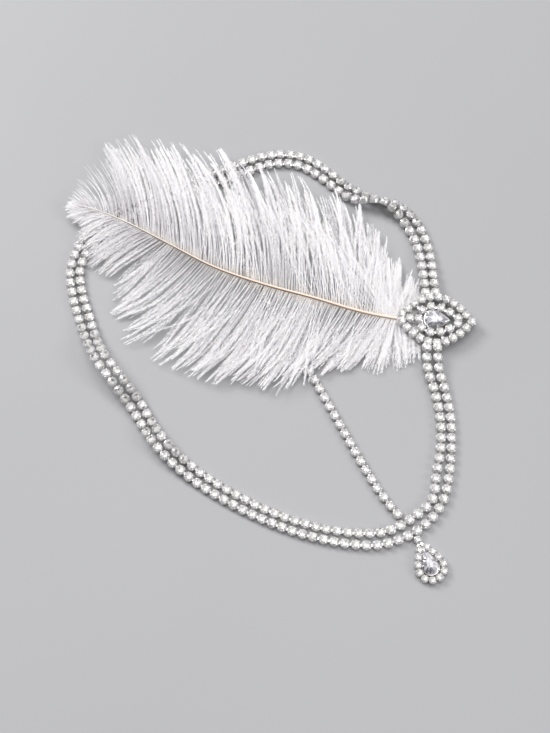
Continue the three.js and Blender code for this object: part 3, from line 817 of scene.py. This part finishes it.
ornament = Jewel(ORNAMENT_TURN, (*ORNAMENT_PLACE, ORNAMENT_LIFT))
leaf_rim = leaf_outline(ORNAMENT_LENGTH, ORNAMENT_WIDTH)
outer_ring = spread(leaf_rim, round(leaf_rim.length / RING_PITCH), 0)
inner_ring = spread(drop_outline(INNER_RING_LENGTH, INNER_RING_WIDTH), INNER_RING_STONES, 0.5)
inner_ring[:, 0] += INNER_RING_SHIFT
accent = np.array([-ORNAMENT_LENGTH / 2 + RING_PITCH * ACCENT_INSET, 0, 0])
ornament.ring(outer_ring, RING_STONE)
ornament.ring(inner_ring, RING_STONE)
ornament.single(accent, RING_STONE)
at_the_sides = [place for place in inner_ring if abs(place[1]) > INNER_RING_WIDTH / 4]
ornament.bars([(place, nearest(place, outer_ring)) for place in at_the_sides])
ornament.bars([(accent, nearest(accent, inner_ring)), (accent, outer_ring[round(len(outer_ring) / 2)])])
ornament.setting(
    CENTER_STONE_LENGTH, CENTER_STONE_WIDTH, CENTER_STONE_SHIFT, ORNAMENT_CLAWS, ORNAMENT_HIGHLIGHT)
ornament.pieces("ornament_metal", "ornament_stones", "center_pear", "ornament_setting", "center_stone")

drop = Jewel(DROP_TURN, (*DROP_PLACE, 0))
drop_rim = drop_outline(DROP_LENGTH, DROP_WIDTH)
drop_ring = spread(drop_rim, round(drop_rim.length / DROP_PITCH), 0.5)
# The two stones at the ring's point stand a whole pitch apart, 0.5 mm further out than the solids.
drop_ring[[0, -1], 1] = DROP_PITCH / 2, -DROP_PITCH / 2
drop_link = np.array([DROP_LENGTH / 2 + DROP_LINK[0], DROP_LINK[1], 0])
drop.ring(drop_ring, DROP_STONE)
drop.single(drop_link, DROP_STONE)
drop.bars([(drop_ring[0], drop_link), (drop_ring[-1], drop_link)])
drop.setting(DROP_STONE_LENGTH, DROP_STONE_WIDTH, 0, DROP_CLAWS, DROP_HIGHLIGHT)
drop.pieces("drop_metal", "drop_stones", "drop_pear", "pendant_setting", "pendant_stone")


# Feather

QUILL_RINGS = 90
QUILL_SIDES = 14
QUILL_TAPER = 1.7  # above 1 the quill stays thick for longer than the solid's
HIGHLIGHT_EDGE = 0.5  # how far up from its far side the quill's painted highlight lies, in radians

BARB_STEPS = 18
BARB_SIDES = 3
BARB_RADIUS = 0.11
BARB_TAPER = 0.06
BARB_BEND = 0.35  # how much of its rise a barb has where it bends
ROOT_CROWD = (0.07, 1.3)  # up to this share of the vane barbs are denser, by this much
TIP_CROWD = (0.85, 1.2)  # and so they are from this share on
SPARSE_PART = (0.7, 0.8)  # from here on they may be sparser
LOWEST_BARB = 0.5
LOWEST_BARBULE = 0.1
NEW_LOCK = 0.4  # chance that a barb starts a new lock
STRAY = (0.07, 5)  # chance that a barb leaves its lock, and how far it may
LOCK_LENGTH = (0.94, 0.05)
SHORTEST, LONGEST = 0.6, 1.01
WAVE = 0.7
WAVE_TURNS = (3, 7)  # radians along a barb
LOCK_PULL = (0.3, 0.9)  # how far a lock draws its barbs together
TIPWARD_LOOSE = (0.6, 0.8)  # locks come loose between these shares of the vane
TIPWARD_DARK = (0.6, 0.85)  # barbs get darker and their barbules change between these
TIPWARD_TONE = 0.13
ROOT_TONE = -0.3  # takes the plume's material to the cream of the quill
SHAFT_TONE = (-0.15, 0.3)  # of a shaft against its barb at the root, and what is added by its end: painted shade near the quill

BARBULE_SPACING = 0.36
BARBULE_LEAN = (27, 11)  # degrees from the barb at its root, and how much less at its end
BARBULE_SIZE = (0.55, 1.4, 1.1)  # length at the root, what is added by the middle and lost at the end
BARBULE_HALF = 0.055
# Barbules are darker near the barb's root and lighter outwards by these amounts: painted shade near the
# quill.
BARBULE_TONE = (-0.2, 0.35)

quill_curve = Curve(QUILL_ROUTE)
vane_length = quill_curve.length - BARE_QUILL


def make_quill_piece():
    shares = np.linspace(0, 1, QUILL_RINGS)
    places, tangents = quill_curve.at(shares), quill_curve.tangent(shares)
    side = unit(np.cross(tangents, UP))
    normal = np.cross(side, tangents)
    radius = (QUILL + (QUILL_TIP - QUILL) * shares ** QUILL_TAPER) / 2
    angles = angles_round(QUILL_SIDES)
    around = (np.cos(angles)[None, :, None] * side[:, None]
              + np.sin(angles)[None, :, None] * normal[:, None])
    heap = Heap()
    heap.add(places[:, None] + radius[:, None, None] * around, ring_faces(QUILL_RINGS, QUILL_SIDES))
    made = heap.piece("quill", quill_horn, "quill", "feather", flat=False)
    values = {
        "along": np.repeat(shares, QUILL_SIDES),
        # Round the quill, 1 at its painted highlight and 0 at the painted shade of its lower edge.
        "around": np.tile(0.5 + 0.5 * np.cos(angles - HIGHLIGHT_EDGE), QUILL_RINGS),
    }
    for name, value in values.items():
        layer = made.data.attributes.new(name, "FLOAT", "POINT")
        layer.data.foreach_set("value", value.astype(np.float32))


def barb_rows(table, count, part, sparse, draw):
    """The table's columns at each barb. Barbs are spread evenly over roots and ends together."""
    ends = np.stack([table[:, 0] * vane_length + table[:, 1], table[:, 2]], -1)
    apart = np.linalg.norm(np.diff(ends, axis=0), axis=1) + np.diff(table[:, 0]) * vane_length
    between = (table[1:, 0] + table[:-1, 0]) / 2
    apart *= (1 + ROOT_CROWD[1] * (1 - smooth(0, ROOT_CROWD[0], between))
              - sparse * smooth(*SPARSE_PART, between)
              + TIP_CROWD[1] * smooth(TIP_CROWD[0], 1, between))
    walked = np.concatenate([[0], np.cumsum(apart)])
    start, stop = np.interp(part, table[:, 0], walked)
    picked = start + (np.arange(count) + draw.uniform(0.2, 0.8, count)) / count * (stop - start)
    return [np.interp(picked, walked, column) for column in table.T]


def barb_lines(rows, lock_of, side, lift, reach, wander, sparse, draw):
    """Points along each barb, from the quill to its end."""
    shares, sweep, spread_out, height, bow = rows
    count, locks = len(shares), lock_of.max() + 1
    places = (BARE_QUILL + vane_length * shares) / quill_curve.length
    roots = quill_curve.at(places)
    along = unit(quill_curve.tangent(places) * [1, 1, 0])
    out = np.cross(UP, along) * side

    # Each lock has its own length and lie.
    length = draw.normal(*LOCK_LENGTH, locks)[lock_of] + draw.normal(0, 0.04, count)
    length = reach * np.clip(length, SHORTEST, LONGEST)
    lie = draw.normal(0, wander, locks)[lock_of]
    lie = lie + np.where(draw.random(count) < STRAY[0], draw.normal(0, STRAY[1], count), 0)
    sweep = sweep * length + lie * smooth(0, 40, spread_out) + draw.normal(0, 0.8, count)
    spread_out = spread_out * length
    height = height + lift + draw.normal(0, 0.35, count)

    t = np.linspace(0, 1, BARB_STEPS)[None, :, None]
    end = roots + along * sweep[:, None] + out * spread_out[:, None]
    end[:, 2] = height
    bow = np.clip(bow + draw.normal(0, 0.03, count), 0.05, 0.95)[:, None]
    bend = roots + along * (sweep[:, None] * (1 - bow)) + out * (spread_out[:, None] * bow)
    bend[:, 2] = roots[:, 2] + (height - roots[:, 2]) * BARB_BEND + lift
    lines = roots[:, None] * (1 - t) ** 2 + bend[:, None] * 2 * t * (1 - t) + end[:, None] * t ** 2

    # A slow wave
    phase = draw.uniform(0, 2 * math.pi, locks)[lock_of] + draw.normal(0, 0.4, count)
    turns = t[..., 0] * draw.uniform(*WAVE_TURNS, count)[:, None]
    wave = np.sin(turns + phase[:, None]) * t[..., 0] * WAVE
    lines += along[:, None] * wave[..., None]

    # The pull of each lock towards its middle barb
    starts = np.concatenate([[0], np.flatnonzero(np.diff(lock_of)) + 1])
    sizes = np.diff(np.concatenate([starts, [count]]))
    middle = np.repeat(np.add.reduceat(lines, starts, axis=0) / sizes[:, None, None], sizes, axis=0)
    loose = (0.6 + sparse) * smooth(*TIPWARD_LOOSE, shares)
    pull = draw.uniform(*LOCK_PULL, locks)[lock_of] * (1 - loose)
    pull = pull[:, None, None] * smooth(0.4, 1.0, t)
    lines += (middle - lines) * pull
    lines[:, :, 2] = np.maximum(lines[:, :, 2], LOWEST_BARB)
    return lines


def add_shafts(heap, lines, tangents, barb_tone):
    """The shafts of the barbs, three-sided and tapered."""
    t = np.linspace(0, 1, BARB_STEPS)
    sideways = unit(np.cross(tangents, UP))
    upward = np.cross(sideways, tangents)
    angles = angles_round(BARB_SIDES) + math.pi / 2
    around = (np.cos(angles)[None, None, :, None] * sideways[:, :, None]
              + np.sin(angles)[None, None, :, None] * upward[:, :, None])
    points = lines[:, :, None] + around * (BARB_RADIUS - BARB_TAPER * t)[None, :, None, None]
    faces = ring_faces(BARB_STEPS, BARB_SIDES, closed_ends=False)[0]
    offsets = np.arange(len(lines))[:, None, None] * BARB_STEPS * BARB_SIDES
    # Shafts get lighter towards their ends: painted shade near the quill.
    growing = np.repeat(t[:-1], BARB_SIDES) * SHAFT_TONE[1]
    tones = np.clip(barb_tone[:, None] + SHAFT_TONE[0] + growing[None], 0, 1)
    tones[:, :BARB_SIDES] = ROOT_TONE
    heap.add(points, [(faces[None] + offsets).reshape(-1, 4)], tones.ravel())


def add_barbules(heap, lines, tangents, barb_tone, tipward, sparse, draw):
    """Barbules: thin tapered blades along both sides of each barb."""
    lengths = np.linalg.norm(np.diff(lines, axis=1), axis=2).sum(1)
    per_side = np.maximum((lengths / BARBULE_SPACING).astype(int), 3)
    owner = np.repeat(np.arange(len(lines)), per_side * 2)
    total = len(owner)
    place = draw.uniform(0.02, 0.995, total)
    hand = np.where(draw.random(total) < 0.5, -1.0, 1.0)
    index = place * (BARB_STEPS - 1)
    low = np.minimum(index.astype(int), BARB_STEPS - 2)
    mix = (index - low)[:, None]
    start = lines[owner, low] * (1 - mix) + lines[owner, low + 1] * mix
    ahead = unit(tangents[owner, low] * (1 - mix) + tangents[owner, low + 1] * mix)
    beside = unit(np.cross(ahead, UP))
    above = np.cross(beside, ahead)
    lean = np.radians(draw.normal(BARBULE_LEAN[0] - BARBULE_LEAN[1] * place, 5, total))[:, None]
    tilt = draw.normal(0.1, 0.5, total)[:, None]
    direction = ahead * np.cos(lean) + (beside * hand[:, None] + above * tilt) * np.sin(lean)
    root_size, added, lost = BARBULE_SIZE
    size = root_size + added * smooth(0.05, 0.5, place) - lost * smooth(0.75, 1, place)
    growth = 0.4 - (0.5 + 2 * sparse) * smooth(0.15, 0.5, place)
    size = size * draw.uniform(0.7, 1.3, total) * (1 + tipward[owner] * growth)
    roll = draw.normal(0, 0.5, total)[:, None]
    blade = unit(np.cross(above, direction)) * np.cos(roll) + above * np.sin(roll)
    half = blade * (BARBULE_HALF * draw.uniform(0.8, 1.2, total))[:, None]
    run = direction * size[:, None]
    quads = np.stack([start - half, start + run * 0.5 - half * 0.9, start + run,
                      start + run * 0.45 + half * 0.9], 1)
    quads[..., 2] = np.maximum(quads[..., 2], LOWEST_BARBULE)
    # Barbules get lighter along their barb: painted shade near the quill.
    growing = BARBULE_TONE[1] * smooth(0.05, 0.75, place)
    tones = barb_tone[owner] + BARBULE_TONE[0] + growing + draw.normal(0, 0.05, total)
    heap.add(quads, [np.arange(total * 4).reshape(-1, 4)], np.clip(tones, 0, 1))


def vane(name, table, side, count, lift, seed, reach=1.0, wander=1.3, tone=0.75, part=(0, 1),
         sparse=0.0):
    """Barbs of one side of the quill in one layer, gathered into locks, with barbules.

    reach is a share of the table's lengths, wander says how far locks lie off their way, part is the
    stretch of the vane that gets barbs, and sparse thins and loosens them towards the tip.
    """
    draw = np.random.default_rng(seed)
    rows = barb_rows(np.array(table), count, part, sparse, draw)
    lock_of = np.cumsum(draw.random(count) < NEW_LOCK)
    lines = barb_lines(rows, lock_of, side, lift, reach, wander, sparse, draw)
    tangents = unit(np.gradient(lines, axis=1))
    tipward = smooth(*TIPWARD_DARK, rows[0])
    lock_tone = draw.normal(0, 0.1, count) + draw.normal(0, 0.08, lock_of.max() + 1)[lock_of]
    barb_tone = tone + lock_tone - TIPWARD_TONE * tipward
    heap = Heap()
    add_shafts(heap, lines, tangents, barb_tone)
    add_barbules(heap, lines, tangents, barb_tone, tipward, sparse, draw)
    heap.piece(name, plume, "plume", "feather")


make_quill_piece()
# The under and cover layers, which lie lowest, get darker tones than the layers over them: painted
# shade.
vane("vane_upper_under", UPPER_BARBS, -1, 190, -0.5, 101, tone=0.5, sparse=0.3)
vane("vane_upper_cover", UPPER_BARBS, -1, 60, -0.9, 109, tone=0.75, part=(0.6, 0.85))
vane("vane_upper_over", UPPER_BARBS, -1, 150, 0.3, 102, wander=2.5, tone=0.85, sparse=0.3)
vane("vane_upper_tufts", UPPER_BARBS, -1, 80, 0.9, 105, reach=0.72, wander=8, tone=0.95, part=(0, 0.6))
vane("vane_upper_sweep", UPPER_SWEEP, -1, 45, 0, 111, wander=4, tone=0.95)
vane("vane_upper_root", UPPER_BARBS, -1, 50, 0.1, 107, wander=4, tone=0.8, part=(0, 0.09))
vane("vane_lower_under", LOWER_BARBS, 1, 190, -0.5, 103, tone=0.58)
vane("vane_lower_cover", LOWER_BARBS, 1, 40, -0.9, 110, tone=0.65, part=(0.2, 0.4))
vane("vane_lower_tip", LOWER_BARBS, 1, 36, 0, 112, tone=0.75, part=(0.74, 0.93))
vane("vane_lower_over", LOWER_BARBS, 1, 150, 0.3, 104, wander=2.5, tone=0.92)
vane("vane_lower_tufts", LOWER_BARBS, 1, 60, 0.8, 106, reach=0.85, wander=5, tone=0.95, part=(0, 0.55))
vane("vane_lower_root", LOWER_BARBS, 1, 60, 0.1, 108, wander=4, tone=0.8, part=(0, 0.07))

# The clip under the ornament stays as it is, with the metal's finish.
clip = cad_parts["quill_clip"].data
clip.materials.clear()
clip.materials.append(silver)


# Floor and light, in metres

FLOOR_HALF = 4.0
FLOOR_TOP = -0.00005


def make_floor():
    made, nodes, links, shader = material("floor")
    links.new(ramp(nodes, links, noise(nodes, links, 3), [
        (0.3, (0.36, 0.36, 0.37)), (0.7, (0.38, 0.38, 0.39)),
    ]), shader.inputs["Base Color"])
    shader.inputs["Roughness"].default_value = 0.8
    mesh = bpy.data.meshes.new("floor")
    around = ((-1, -1), (1, -1), (1, 1), (-1, 1))
    corners = [(x * FLOOR_HALF, y * FLOOR_HALF, FLOOR_TOP) for x, y in around]
    mesh.from_pydata(corners, [], [(0, 1, 2, 3)])
    mesh.materials.append(made)
    floor = bpy.data.objects.new("floor", mesh)
    bpy.context.scene.collection.objects.link(floor)


def light(name, kind, place, power):
    """The data of a new light that is aimed at the part."""
    data = bpy.data.lights.new(name, kind)
    data.energy = power
    made = bpy.data.objects.new(name, data)
    bpy.context.scene.collection.objects.link(made)
    made.location = place
    way = -np.array(place)
    made.rotation_euler = (math.acos(-way[2] / np.linalg.norm(way)), 0, math.atan2(-way[0], way[1]))
    return data


def area_light(name, place, size, power):
    data = light(name, "AREA", place, power)
    data.shape = "RECTANGLE"
    data.size, data.size_y = size


make_floor()
overhead = light("overhead", "SUN", place=(0, 0.38, 1.1), power=1.8)
overhead.angle = math.radians(44)
area_light("key", place=(-0.7, 0.6, 0.8), size=(0.45, 0.45), power=10)
area_light("fill", place=(0.8, -0.3, 0.6), size=(0.25, 0.4), power=3)
world = bpy.data.worlds.new("studio")
world.use_nodes = True
background = world.node_tree.nodes["Background"]
background.inputs["Color"].default_value = (0.93, 0.93, 0.94, 1)
background.inputs["Strength"].default_value = 0.33
bpy.context.scene.world = world
bpy.context.scene.view_settings.view_transform = "Standard"
